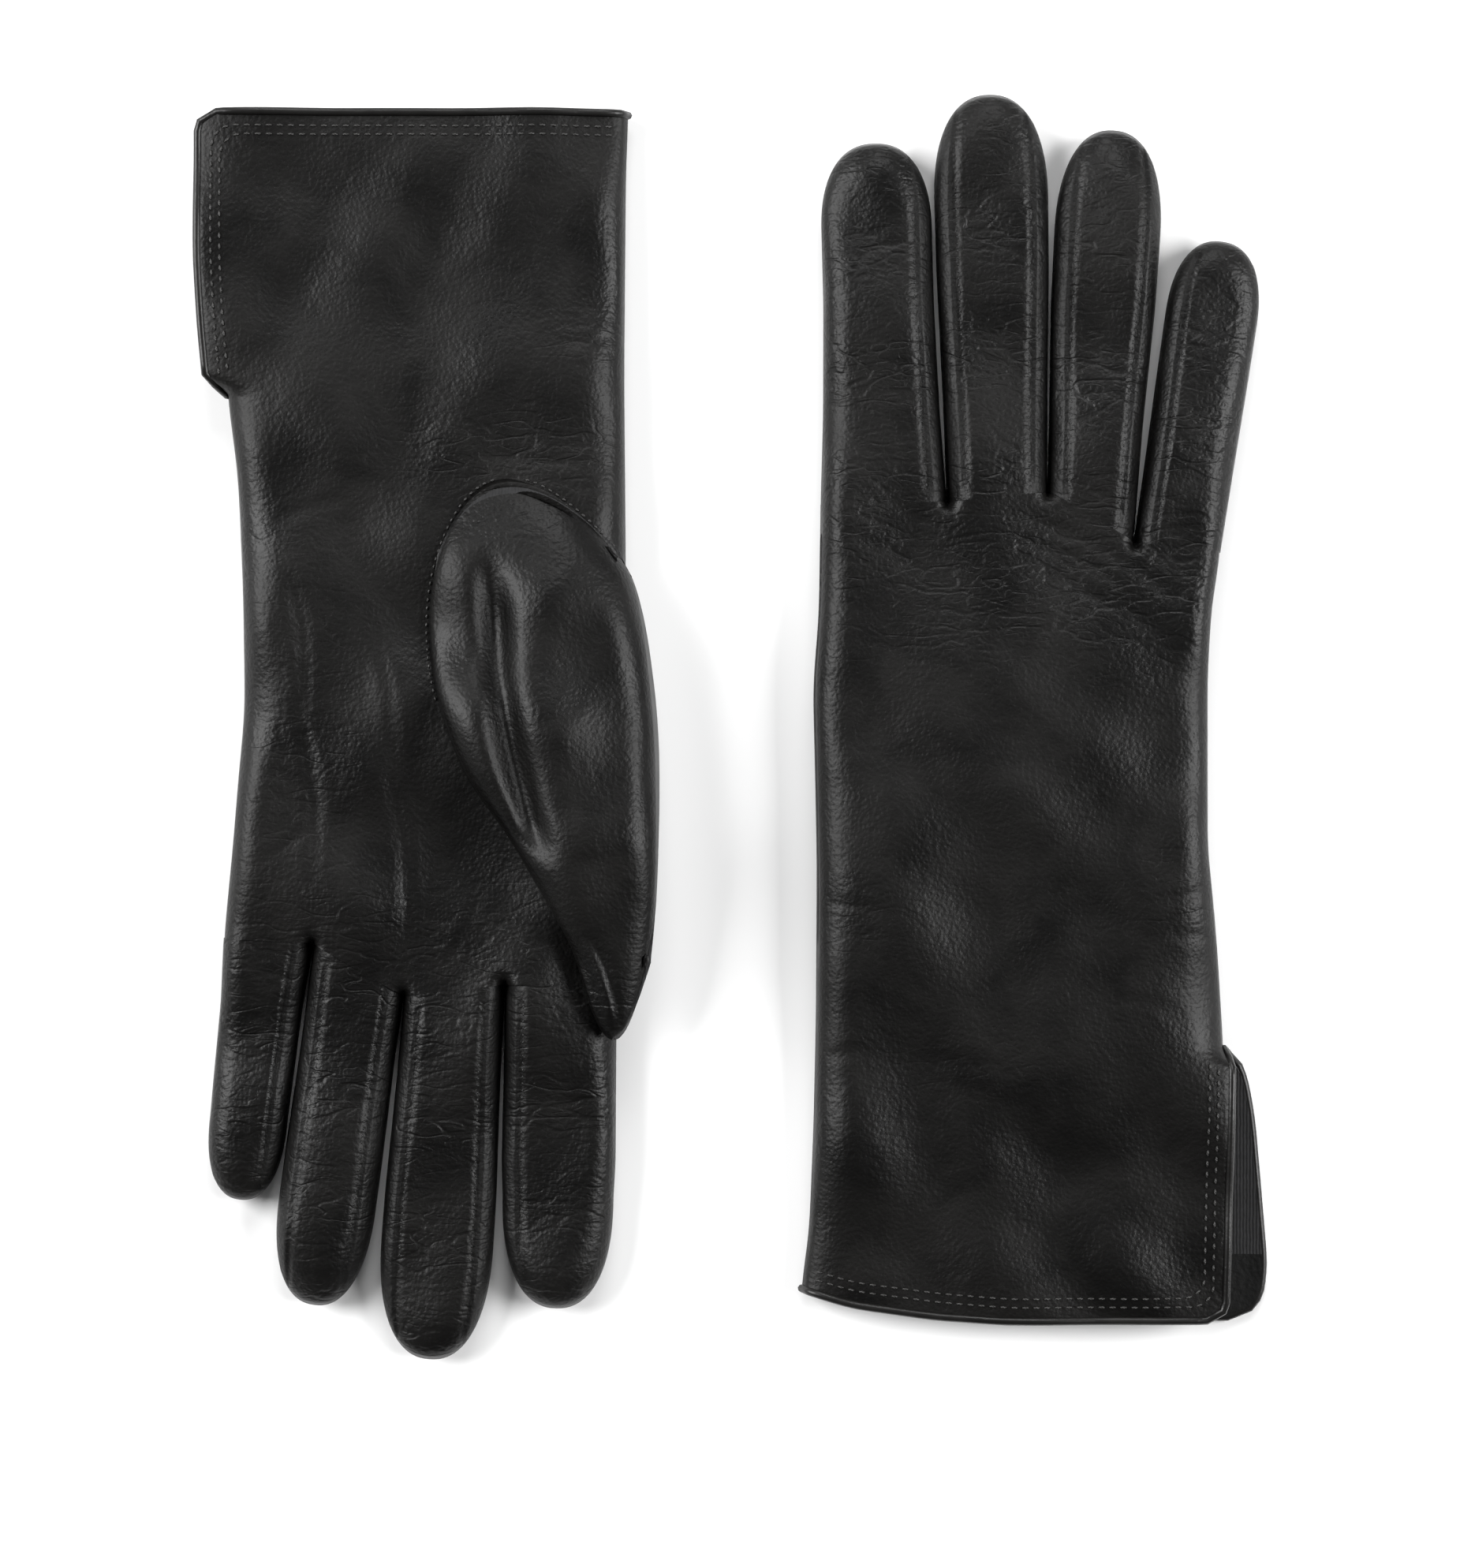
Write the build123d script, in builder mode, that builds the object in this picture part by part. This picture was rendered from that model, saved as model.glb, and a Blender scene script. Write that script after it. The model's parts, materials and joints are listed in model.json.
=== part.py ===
"""A pair of men's leather dress gloves lying flat, one palm up and one back up.

Units are millimetres, +Z is up and both gloves lie on Z = 0. The left glove's
fingers point to -Y with its palm up, the right glove's to +Y with its back up.
Each glove is laid out in its own plane: X across the hand with the thumb side
negative, Y from the hem to the fingertips. Every leather wall keeps its
thickness, with the lining as a second wall inside it.
"""
import os
from math import atan2, degrees

from build123d import *

# Driving dimensions of the pair
leather = 0.9            # thickness of the outer leather
lining = 0.5             # thickness of the lining fabric
hand_height = 16.0       # hand of the glove as it lies, palm to back
finger_height = 12.5     # finger as it lies, palm side to back side
hand_round = 6.0         # rounding where the hand's sides roll over
finger_round = 5.0       # rounding where a finger's sides roll over
thumb_round = 3.0        # rounding where the thumb's sides roll over
side_strip = 4.0         # how far a fourchette shows inside a finger's outline
side_margin = 2.0        # how far a strip runs past an edge that has no fourchette
hinge_gap = 0.4          # clearance between a bending finger and the hand
finger_start = 1.0       # a finger's leather starts this far past its bend axis
swing_room = 0.85        # share of the thumb root's radius kept clear for its swing
hole_margin = 6.0        # leather between the thumb's seam and the edge of its hole
recess_room = 1.5        # room round the folded thumb under the right palm
recess_taper = 6.0       # how much that recess narrows towards the fingers
facing_width = 14.0      # turned-in leather band inside the cuff
binding_width = 1.4      # rolled binding that closes the hem
stitch_rows = (3.2, 5.2)  # the two stitch rows, measured from the hem
stitch_length = 78.0     # how far a row runs across the cuff
stitch_middle = 2.5      # where the middle of a row lies across the cuff
stitch_width = 0.5       # thread thickness across a row
stitch_proud = 0.25      # how far the thread stands on the leather
vent_skin = 2.6          # height of the flap left above and below the vent
vent_edge = 40.0         # the vent opens the cuff beyond this distance from its middle
mouth = 8.0              # how far hollow shapes run past an open end
rim = 1.0                # how far a cutting zone stands past what it cuts
far = 300.0              # past the whole glove in any direction
side_length = 120.0      # only the hand's long side edges are longer than this

# The edges of each finger that are closed by a fourchette: 1 is the little finger's side
fourchette_sides = {"index": (1,), "middle": (-1, 1), "ring": (-1, 1), "little": (-1,)}

lined = leather + lining
bend_back = finger_height / 2 + hinge_gap


class Glove:
    """One glove's measurements, in its own plane."""

    def __init__(self, name, origin, palm_up, index_side, little_side, crotches,
                 fingers, vent_length, thumb):
        self.name = name
        self.palm_up = palm_up
        toward_thumb = -1 if palm_up else 1
        self.plane = Plane(origin=origin, x_dir=(toward_thumb, 0, 0), z_dir=(0, 0, 1))
        self.index_side = index_side
        self.little_side = little_side
        self.crotches = crotches
        self.fingers = fingers
        self.vent_length = vent_length
        self.thumb = thumb
        self.pieces = {}


class Finger:
    """One finger stall: where it starts, where it points and how wide it is.

    It bends about the knuckle line, straight across the hand, so that a bent
    finger keeps its own place beside its neighbours.
    """

    def __init__(self, name, root, tip, root_width, tip_width, stub=2.0):
        self.name = name
        self.root = Vector(*root)
        self.tip = Vector(*tip)
        self.root_width = root_width
        self.tip_width = tip_width
        self.length = (self.tip - self.root).length
        self.hinge = self.root + (self.tip - self.root).normalized() * (stub + bend_back)
        self.stub_end = self.hinge.Y - bend_back

    def plane(self, glove):
        """The finger's own plane: origin at its root, Y along the finger."""
        along = self.tip - self.root
        lean = degrees(atan2(along.X, along.Y))
        return glove.plane.shift_origin(glove.plane.from_local_coords(self.root)).rotated((0, 0, -lean))


class Thumb:
    """The set-in thumb: the seam's arch on the palm and the stall that swings."""

    def __init__(self, arch, seam_width, pivot, tip, tip_width, swing_radius,
                 clearance, thickness, base_height):
        self.arch = arch
        self.seam_width = seam_width
        self.pivot = Vector(*pivot)
        self.tip = Vector(*tip)
        self.tip_width = tip_width
        self.swing_radius = swing_radius
        self.clearance = clearance
        self.thickness = thickness
        self.base_height = base_height

    def plane(self, glove):
        """The stall's own plane: origin at its pivot, Y along the thumb."""
        along = self.tip - self.pivot
        lean = degrees(atan2(along.X, along.Y))
        return glove.plane.shift_origin(glove.plane.from_local_coords(self.pivot)).rotated((0, 0, -lean))


left = Glove(
    name="left", origin=(-68.5, 140.8, 0), palm_up=True,
    index_side=[(-45.5, -mouth), (-44.8, 12), (-44.3, 60), (-44.3, 95), (-44.8, 140), (-43.0, 196)],
    little_side=[(53.5, -mouth), (53.4, 30), (51.0, 58), (45.6, 72), (43.6, 105), (43.4, 140),
                 (46.6, 182)],
    crotches=[(-16.9, 199), (6.3, 201), (27.0, 190)],
    fingers=[
        Finger("index", (-29.9, 199), (-28.6, 273.5), 25.4, 24.6, stub=14.0),
        Finger("middle", (-5.2, 200), (1.0, 285), 22.4, 25.0),
        Finger("ring", (16.7, 195), (27.0, 272.5), 19.4, 21.6),
        Finger("little", (37.0, 187), (46.2, 248), 18.0, 16.4),
    ],
    vent_length=64.0,
    thumb=Thumb(arch=(-22, 84), seam_width=42.0, pivot=(-29, 146), tip=(-43, 211),
                tip_width=13.0, swing_radius=16.0, clearance=0.4, thickness=9.0, base_height=9.4),
)

right = Glove(
    name="right", origin=(64.4, -135.8, 0), palm_up=False,
    index_side=[(-46.5, -mouth), (-46.0, 20), (-44.7, 60), (-44.7, 105), (-45.0, 145), (-43.6, 184)],
    little_side=[(57.5, -mouth), (57.0, 28), (53.0, 57), (47.4, 84), (45.2, 110), (45.2, 148),
                 (49.0, 174)],
    crotches=[(-14.6, 186), (8.4, 188), (28.2, 177)],
    fingers=[
        Finger("index", (-29.4, 186), (-31.0, 268.5), 26.4, 24.6),
        Finger("middle", (-3.2, 187), (-4.8, 280), 21.8, 25.2),
        Finger("ring", (18.5, 182), (23.6, 271.5), 18.8, 23.0),
        Finger("little", (38.4, 174), (49.2, 246), 18.2, 19.0),
    ],
    vent_length=62.0,
    thumb=Thumb(arch=(-22, 84), seam_width=38.0, pivot=(-25, 134), tip=(-30, 183),
                tip_width=16.0, swing_radius=14.0, clearance=0.4, thickness=7.6, base_height=8.0),
)


def extruded_zone(plane, bottom, top, corners):
    """A straight-sided zone over the given corners, used to cut pieces apart."""
    with BuildPart() as zone:
        with BuildSketch(plane.offset(bottom)):
            with BuildLine():
                Polyline(*corners, close=True)
            make_face()
        extrude(amount=top - bottom)
    return zone.part


def rectangle_zone(plane, x_range, y_range, z_range):
    """A box-shaped zone in the given plane."""
    corners = [(x_range[0], y_range[0]), (x_range[1], y_range[0]),
               (x_range[1], y_range[1]), (x_range[0], y_range[1])]
    return extruded_zone(plane, z_range[0], z_range[1], corners)


def across_zone(glove, y_from, y_to):
    """Everything between two distances from the hem, right across the glove."""
    return rectangle_zone(glove.plane, (-far, far), (y_from, y_to), (-far, far))


def palm_body(glove, inset):
    """The hand of the glove without its fingers, shrunk by inset on every wall."""
    with BuildPart() as body:
        with BuildSketch(glove.plane.offset(inset)):
            with BuildLine():
                thumb_edge = Spline(*[(x + inset, y) for x, y in glove.index_side])
                little_edge = Spline(*[(x - inset, y) for x, y in glove.little_side])
                crotches = [(x, y - inset) for x, y in glove.crotches]
                Line(thumb_edge @ 0, little_edge @ 0)
                Polyline(thumb_edge @ 1, *crotches, little_edge @ 1)
            make_face()
        extrude(amount=hand_height - 2 * inset)
        sides = body.faces().filter_by(Axis.Z).edges().filter_by(lambda edge: edge.length > side_length)
        fillet(sides, radius=hand_round - inset)
    return body.part


def finger_body(glove, finger, inset):
    """One finger stall from inside the hand to its round tip, shrunk by inset."""
    plane = finger.plane(glove)
    half_root = finger.root_width / 2 - inset
    half_tip = finger.tip_width / 2 - inset
    shoulder = finger.length - finger.tip_width / 2
    with BuildPart() as body:
        with BuildSketch(plane.offset(inset)):
            with BuildLine():
                Polyline((-half_tip, shoulder), (-half_root, 0), (-half_root, -mouth),
                         (half_root, -mouth), (half_root, 0), (half_tip, shoulder))
                ThreePointArc((half_tip, shoulder), (0, finger.length - inset), (-half_tip, shoulder))
            make_face()
        extrude(amount=finger_height - 2 * inset)
        rims = body.faces().filter_by(Axis.Z).edges()
        rims = rims.filter_by(lambda edge: plane.to_local_coords(edge.center()).Y > rim - mouth)
        fillet(rims, radius=finger_round - inset)
    return body.part


def thumb_body(glove, inset):
    """The thumb stall: a round root that swings about its pivot, tapered to the tip."""
    thumb = glove.thumb
    bottom, top = thumb_levels(glove)
    length = (thumb.tip - thumb.pivot).length
    with BuildPart() as body:
        with BuildSketch(thumb.plane(glove).offset(bottom + inset)):
            Circle(thumb.swing_radius - inset)
            with Locations((0, length - thumb.tip_width / 2)):
                Circle(thumb.tip_width / 2 - inset)
            make_hull()
        extrude(amount=top - bottom - 2 * inset)
        fillet(body.faces().filter_by(Axis.Z).edges(), radius=thumb_round - inset)
    return body.part


def thumb_levels(glove):
    """Lowest and highest level of the thumb stall, over the palm or under it."""
    if glove.palm_up:
        return hand_height + glove.thumb.clearance, hand_height + glove.thumb.clearance + glove.thumb.thickness
    return 0.0, glove.thumb.thickness


def thumb_recess(glove, grow):
    """The room under the right palm where its folded thumb lies."""
    thumb = glove.thumb
    inner = thumb.arch[0] + thumb.seam_width / 2 + recess_room
    start = thumb.arch[1] - recess_room
    end = glove.crotches[0][1] - rim
    corners = [(-far, start - grow), (inner + grow, start - grow), (inner + grow, thumb.pivot.Y + grow),
               (inner - recess_taper + grow, end + grow), (-far, end + grow)]
    return extruded_zone(glove.plane, -mouth, thumb.base_height + grow, corners)


def hand_body(glove, inset):
    """Palm and finger stubs in one closed shape, shrunk by inset on every wall."""
    with BuildPart() as body:
        add(palm_body(glove, inset))
        for finger in glove.fingers:
            limit = across_zone(glove, 0, finger.stub_end + reach(inset))
            add(finger_body(glove, finger, inset) & limit)
        if not glove.palm_up:
            add(thumb_recess(glove, inset), mode=Mode.SUBTRACT)
    return body.part


def reach(inset):
    """Hollow shapes run on past an open end, so that the end is left open."""
    return mouth / 2 if inset > 0 else 0.0


def hand_layer(glove, outer_inset, inner_inset, y_range):
    """One wall layer of the hand between two hem distances, with vent and thumb hole."""
    thumb = glove.thumb
    hole_level = hand_height if glove.palm_up else thumb.base_height
    with BuildPart() as layer:
        add(hand_body(glove, outer_inset))
        add(hand_body(glove, inner_inset), mode=Mode.SUBTRACT)
        add(across_zone(glove, *y_range), mode=Mode.INTERSECT)
        for finger in glove.fingers:
            half = finger.root_width / 2 + hinge_gap
            past = rectangle_zone(glove.plane, (finger.hinge.X - half, finger.hinge.X + half),
                                  (finger.stub_end, finger.stub_end + mouth), (-far, far))
            add(past, mode=Mode.SUBTRACT)
        vent = rectangle_zone(glove.plane, (vent_edge, far), (-mouth, glove.vent_length),
                              (vent_skin, hand_height - vent_skin))
        add(vent, mode=Mode.SUBTRACT)
        with BuildSketch(glove.plane.offset(hole_level - 2 * lined)):
            with Locations((thumb.arch[0], thumb.arch[1] + thumb.seam_width / 2)):
                Circle(thumb.seam_width / 2 - hole_margin)
        extrude(amount=4 * lined, mode=Mode.SUBTRACT)
    return layer.part


def thumb_base(glove):
    """The part of the thumb leather that is sewn round the thumb hole."""
    thumb = glove.thumb
    bottom = hand_height if glove.palm_up else 0.0
    hollow_bottom = bottom - rim if glove.palm_up else bottom + leather
    radius = thumb.seam_width / 2
    centre = (thumb.arch[0], thumb.arch[1] + radius)
    with BuildPart() as base:
        for inset, mode in ((0.0, Mode.ADD), (leather, Mode.SUBTRACT)):
            level = bottom if inset == 0 else hollow_bottom
            height = thumb.base_height if inset == 0 else thumb.base_height + rim - leather
            with BuildSketch(glove.plane.offset(level)):
                with Locations(centre):
                    Circle(radius - inset)
                with Locations((thumb.pivot.X, thumb.pivot.Y)):
                    Circle(thumb.swing_radius - inset)
                make_hull()
            extrude(amount=height, mode=mode)
        with BuildSketch(glove.plane.offset(-rim)):
            with Locations((thumb.pivot.X, thumb.pivot.Y)):
                Circle(thumb.swing_radius + thumb.clearance)
        extrude(amount=far, mode=Mode.SUBTRACT)
        swept = rectangle_zone(thumb.plane(glove), (-far, far), (-swing_room * thumb.swing_radius, far),
                               (-far, far))
        add(swept, mode=Mode.SUBTRACT)
    return base.part


def thumb_stall(glove, outer_inset, inner_inset):
    """The swinging part of the thumb, open at its root."""
    thumb = glove.thumb
    open_root = -thumb.swing_radius / 2
    with BuildPart() as stall:
        add(thumb_body(glove, outer_inset))
        add(thumb_body(glove, inner_inset), mode=Mode.SUBTRACT)
        add(rectangle_zone(thumb.plane(glove), (-far, far), (open_root, far), (-far, far)),
            mode=Mode.INTERSECT)
    return stall.part


def finger_shell(glove, finger, outer_inset, inner_inset):
    """One wall layer of the bending part of a finger, open at its root."""
    with BuildPart() as shell:
        add(finger_body(glove, finger, outer_inset))
        add(finger_body(glove, finger, inner_inset), mode=Mode.SUBTRACT)
        add(across_zone(glove, finger.hinge.Y + finger_start, far), mode=Mode.INTERSECT)
    return shell.part


def strip_zone(glove, finger, sides, bottom, top):
    """The palm and back strips' zone: between the seams, and all of the fingertip."""
    half_root = finger.root_width / 2
    half_tip = finger.tip_width / 2
    shoulder = finger.length - half_tip
    corners = []
    for side in (1, -1):
        inward = side_strip if side in sides else -side_margin
        past_tip = side * (half_tip + side_margin)
        edge = [(side * (half_root - inward), 0), (side * (half_tip - inward), shoulder),
                (past_tip, shoulder + side_strip), (past_tip, finger.length + side_margin)]
        corners += edge if side == 1 else edge[::-1]
    return extruded_zone(finger.plane(glove), bottom, top, corners)


def write(glove, node, part):
    """Keep a finished piece under its node name and write its STEP file."""
    name = f"{glove.name}_{node}"
    with BuildPart() as piece:
        add(part)
    piece.part.label = name
    glove.pieces[node] = piece.part
    export_step(piece.part, f"parts/{name}.step")


def make_finger(glove, finger):
    """Palm strip, back strip, fourchettes and lining of one finger."""
    middle = finger_height / 2
    shell = finger_shell(glove, finger, 0.0, leather)
    sides = fourchette_sides[finger.name]
    lower, upper = ("back", "palm") if glove.palm_up else ("palm", "back")
    full = strip_zone(glove, finger, sides, -rim, hand_height)
    if finger.name == "index":
        write(glove, "index_strip", shell & full)
    else:
        write(glove, f"{finger.name}_{lower}_strip",
              shell & strip_zone(glove, finger, sides, -rim, middle))
        write(glove, f"{finger.name}_{upper}_strip",
              shell & strip_zone(glove, finger, sides, middle, hand_height))
    for side in sides:
        half = rectangle_zone(finger.plane(glove), sorted((0, side * far)), (0, finger.length),
                              (-rim, hand_height))
        neighbour = "outer" if side > 0 else "inner"
        write(glove, f"{finger.name}_{neighbour}_fourchette", (shell & half) - full)
    write(glove, f"{finger.name}_lining", finger_shell(glove, finger, leather, lined))


def make_cuff_stitching(glove):
    """Two rows of thread round the hem, on the side that lies up."""
    with BuildPart() as rows:
        for row in stitch_rows:
            with BuildSketch(glove.plane.offset(hand_height)):
                with Locations((stitch_middle, row)):
                    Rectangle(stitch_length, stitch_width)
            extrude(amount=stitch_proud)
    write(glove, "cuff_stitching", rows.part)


os.makedirs("parts", exist_ok=True)
for glove in (left, right):
    write(glove, "hand_leather", hand_layer(glove, 0.0, leather, (0, far)))
    write(glove, "hand_lining", hand_layer(glove, leather, lined, (facing_width, far)))
    write(glove, "cuff_facing", hand_layer(glove, leather, lined, (0, facing_width)))
    write(glove, "cuff_binding", hand_layer(glove, 0.0, lined, (-binding_width, 0)))
    make_cuff_stitching(glove)
    write(glove, "thumb_base", thumb_base(glove))
    write(glove, "thumb_stall", thumb_stall(glove, 0.0, leather))
    write(glove, "thumb_lining", thumb_stall(glove, leather, lined))
    for finger in glove.fingers:
        make_finger(glove, finger)

for glove in (left, right):
    bounds = Compound(children=list(glove.pieces.values())).bounding_box()
    print(glove.name, len(glove.pieces), "pieces", bounds.min, bounds.max)
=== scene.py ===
import json
import math
from types import SimpleNamespace

import bmesh
import bpy
import numpy as np
from mathutils import Matrix, Vector
from mathutils.bvhtree import BVHTree


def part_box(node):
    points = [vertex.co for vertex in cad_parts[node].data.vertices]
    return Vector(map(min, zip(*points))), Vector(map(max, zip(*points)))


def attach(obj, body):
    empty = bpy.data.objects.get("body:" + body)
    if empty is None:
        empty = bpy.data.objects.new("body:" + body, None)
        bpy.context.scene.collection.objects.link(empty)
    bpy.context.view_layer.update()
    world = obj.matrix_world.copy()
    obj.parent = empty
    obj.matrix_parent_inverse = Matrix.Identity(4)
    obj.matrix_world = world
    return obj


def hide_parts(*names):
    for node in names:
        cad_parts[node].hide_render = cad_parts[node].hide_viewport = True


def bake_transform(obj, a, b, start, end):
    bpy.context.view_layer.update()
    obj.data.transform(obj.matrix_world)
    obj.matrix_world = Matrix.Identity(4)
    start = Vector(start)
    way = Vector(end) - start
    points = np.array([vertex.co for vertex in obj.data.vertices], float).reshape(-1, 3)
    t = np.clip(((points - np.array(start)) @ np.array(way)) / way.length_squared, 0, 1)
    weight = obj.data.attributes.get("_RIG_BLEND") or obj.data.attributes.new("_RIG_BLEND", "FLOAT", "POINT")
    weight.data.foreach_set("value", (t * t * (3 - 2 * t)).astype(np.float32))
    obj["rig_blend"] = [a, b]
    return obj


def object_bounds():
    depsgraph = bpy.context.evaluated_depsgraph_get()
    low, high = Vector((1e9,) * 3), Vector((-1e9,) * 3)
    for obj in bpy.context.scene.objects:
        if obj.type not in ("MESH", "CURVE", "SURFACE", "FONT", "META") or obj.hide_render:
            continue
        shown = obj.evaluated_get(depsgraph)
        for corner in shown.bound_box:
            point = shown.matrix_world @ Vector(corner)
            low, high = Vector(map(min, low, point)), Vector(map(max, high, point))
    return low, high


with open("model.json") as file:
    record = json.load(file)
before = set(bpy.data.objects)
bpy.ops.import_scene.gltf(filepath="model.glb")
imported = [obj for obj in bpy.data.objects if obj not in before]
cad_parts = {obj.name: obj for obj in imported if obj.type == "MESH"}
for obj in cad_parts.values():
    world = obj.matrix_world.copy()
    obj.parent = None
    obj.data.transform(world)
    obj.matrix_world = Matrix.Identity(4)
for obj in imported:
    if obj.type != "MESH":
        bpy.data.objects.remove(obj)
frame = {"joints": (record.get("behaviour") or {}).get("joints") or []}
cad_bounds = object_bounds()

# ---------------------------------------------------------------- the skins
# Each glove is cut from one soft leather skin that folds round the thumb side
# and is sewn up the little-finger side. It lies nearly flat, so the skin is a
# palm sheet and a back sheet that meet at its outline.
mm = 0.001                 # layouts: X across from the thumb side, Y from the hem to the tips
leather_wall = 0.9
weld = 0.02                # corners this close are one corner
seam_inset = 4.0           # how far a fourchette shows inside a finger's outline
edge_columns = 6           # mesh columns on each fourchette
strip_columns = 16         # mesh columns between a finger's two seams
finger_columns = strip_columns + 2 * edge_columns
hand_rows = 170
stall_rows = 66
cap_rows = 20
edge_roll = 6.5            # how far in from its edge the leather has rolled flat
edge_level = 0.42          # height of the side seam, as a share of the thickness
seam_depth = 0.7           # how far a seam pulls the leather in
fourchette_sides = {"index": (1,), "middle": (-1, 1), "ring": (-1, 1), "little": (-1,)}


def smooth_line(points, reach):
    """A value along Y: straight runs between the points, rounded over the reach."""
    step = 0.5
    ys = np.arange(-60.0, 320.0, step)
    at, values = zip(*points)
    line = np.interp(ys, at, values)
    window = np.hanning(2 * int(reach / step) + 3)
    pad = len(window) // 2
    line = np.convolve(np.pad(line, pad, mode="edge"), window / window.sum(), mode="valid")
    return lambda y: np.interp(y, ys, line)


def ease(t):
    """Smooth step from 0 to 1."""
    t = np.clip(t, 0.0, 1.0)
    return t * t * (3 - 2 * t)


def roll(distance, radius):
    """How far the leather has risen from the side seam, 0 to 1, over a rolled edge."""
    t = np.clip(distance / radius, 0.0, 1.0)
    return (1 - (1 - t) ** 2.3) ** (1 / 2.3)


def finger(name, tip, halves, cap):
    return SimpleNamespace(name=name, tip=np.array(tip), halves=halves, cap=cap)


left = SimpleNamespace(
    name="left", turn=-1, palm_up=True, seed=4,
    roots=np.array([(-42.6, 199.0), (-16.9, 199.5), (6.3, 202.0), (27.0, 190.0), (47.8, 189.0)]),
    thumb_edge=smooth_line([(0, -45.2), (11, -44.6), (60, -44.2), (104, -44.6), (150, -44.4),
                            (199, -42.6)], 14),
    side_edge=smooth_line([(64, 47.0), (83, 44.4), (110, 43.2), (137, 42.8), (152, 44.3), (166, 45.4),
                           (184, 47.2), (190, 47.8)], 12),
    upper_flap=smooth_line([(0, 53.3), (34, 53.2), (50, 52.2), (62, 51.0)], 8),
    lower_flap=smooth_line([(0, 51.0), (34, 50.6), (62, 47.2)], 8),
    vent=64.0, hem=smooth_line([(-50, 0.0), (50, 0.0)], 2),
    thickness=smooth_line([(0, 10.0), (30, 11.5), (70, 14.0), (120, 15.6), (160, 15.2), (196, 13.4)], 14),
    fingers=[
        finger("index", (-28.6, 274.3), (12.9, 13.1, 12.7), 25.0),
        finger("middle", (0.6, 286.0), (11.9, 12.8, 12.9), 27.0),
        finger("ring", (27.2, 273.5), (10.9, 11.2, 11.2), 24.0),
        finger("little", (44.2, 249.3), (9.4, 9.1, 8.9), 18.0),
    ],
)
right = SimpleNamespace(
    name="right", turn=1, palm_up=False, seed=11,
    roots=np.array([(-43.6, 187.0), (-14.6, 187.2), (8.4, 189.5), (28.2, 178.0), (48.2, 176.0)]),
    thumb_edge=smooth_line([(0, -48.4), (9, -47.8), (20, -46.2), (45, -45.2), (69, -44.7), (105, -44.5),
                            (130, -45.0), (145, -45.4), (162, -44.0), (187, -43.6)], 10),
    side_edge=smooth_line([(62, 48.9), (87, 47.3), (98, 46.3), (108, 45.2), (148, 45.2), (163, 46.1),
                           (176, 48.2)], 9),
    upper_flap=smooth_line([(0, 49.2), (30, 49.7), (62, 50.3)], 8),
    lower_flap=smooth_line([(0, 57.2), (12, 58.7), (30, 57.2), (46, 55.8), (56, 54.0), (62, 51.0)], 6),
    vent=62.0, hem=smooth_line([(-60, 8.2), (-48, 7.0), (-36, 3.6), (-16, 1.0), (0, 0.0), (50, 0.0)], 6),
    thickness=smooth_line([(0, 9.0), (30, 11.0), (70, 14.0), (110, 16.0), (150, 15.6), (184, 13.4)], 14),
    fingers=[
        finger("index", (-31.2, 270.2), (13.4, 12.7, 12.7), 20.0),
        finger("middle", (-4.8, 281.4), (12.0, 12.9, 13.1), 24.0),
        finger("ring", (23.8, 273.2), (10.8, 12.0, 12.2), 24.0),
        finger("little", (48.9, 247.6), (10.2, 10.5, 10.6), 18.0),
    ],
)

for glove in (left, right):
    low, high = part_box(f"{glove.name}_hand_leather")
    rows_low, rows_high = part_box(f"{glove.name}_cuff_stitching")
    glove.hem_y = high.y if glove.palm_up else low.y
    glove.middle_x = (rows_low.x + rows_high.x) / 2 - glove.turn * 2.5 * mm
    for part in glove.fingers:
        place = glove.fingers.index(part)
        part.before, part.after = glove.roots[place], glove.roots[place + 1]
        part.middle = (part.before + part.after) / 2
        part.length = float(np.linalg.norm(part.tip - part.middle))
        part.along = (part.tip - part.middle) / part.length
        part.across = np.array([part.along[1], -part.along[0]])
        half_root = (part.after - part.before) / 2
        part.slant = float(half_root @ part.along)
        straight = part.length - part.cap
        widths = [(-20, half_root @ part.across), (0, half_root @ part.across),
                  (0.25 * part.length, part.halves[0]), (0.55 * part.length, part.halves[1]),
                  (straight, part.halves[2])]
        part.half = smooth_line(widths, 4)
        part.straight = straight


def in_place(glove, x, y, z):
    """Points of the glove's layout as world coordinates."""
    return np.stack([glove.middle_x + glove.turn * x * mm, glove.hem_y + glove.turn * y * mm, z * mm], axis=1)


def across_finger(u, half):
    """Mesh column position 0 to 1 as a place -1 to 1 across a finger of this half width."""
    edge = edge_columns / finger_columns
    inset = seam_inset / half
    low = -1 + u / edge * inset
    high = 1 - (1 - u) / edge * inset
    inner = -1 + inset + (u - edge) / (1 - 2 * edge) * (2 - 2 * inset)
    return np.where(u < edge, low, np.where(u > 1 - edge, high, inner))


wave_count, wave_height = 18, 0.3
shortest_wave, longest_wave = 17, 62


def dents(glove, x, y, top):
    """Broad soft waves of leather that has been worn and laid down; the longer ones stand higher."""
    rng = np.random.default_rng(glove.seed + (0 if top else 50))
    total = np.zeros_like(x)
    for _ in range(wave_count):
        length = rng.uniform(shortest_wave, longest_wave)
        turn = rng.uniform(0, math.tau)
        phase = rng.uniform(0, math.tau)
        total += np.sin((x * math.cos(turn) + y * math.sin(turn)) * math.tau / length + phase) * length / 46
    return total * wave_height


crease_strength = 0.38


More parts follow.
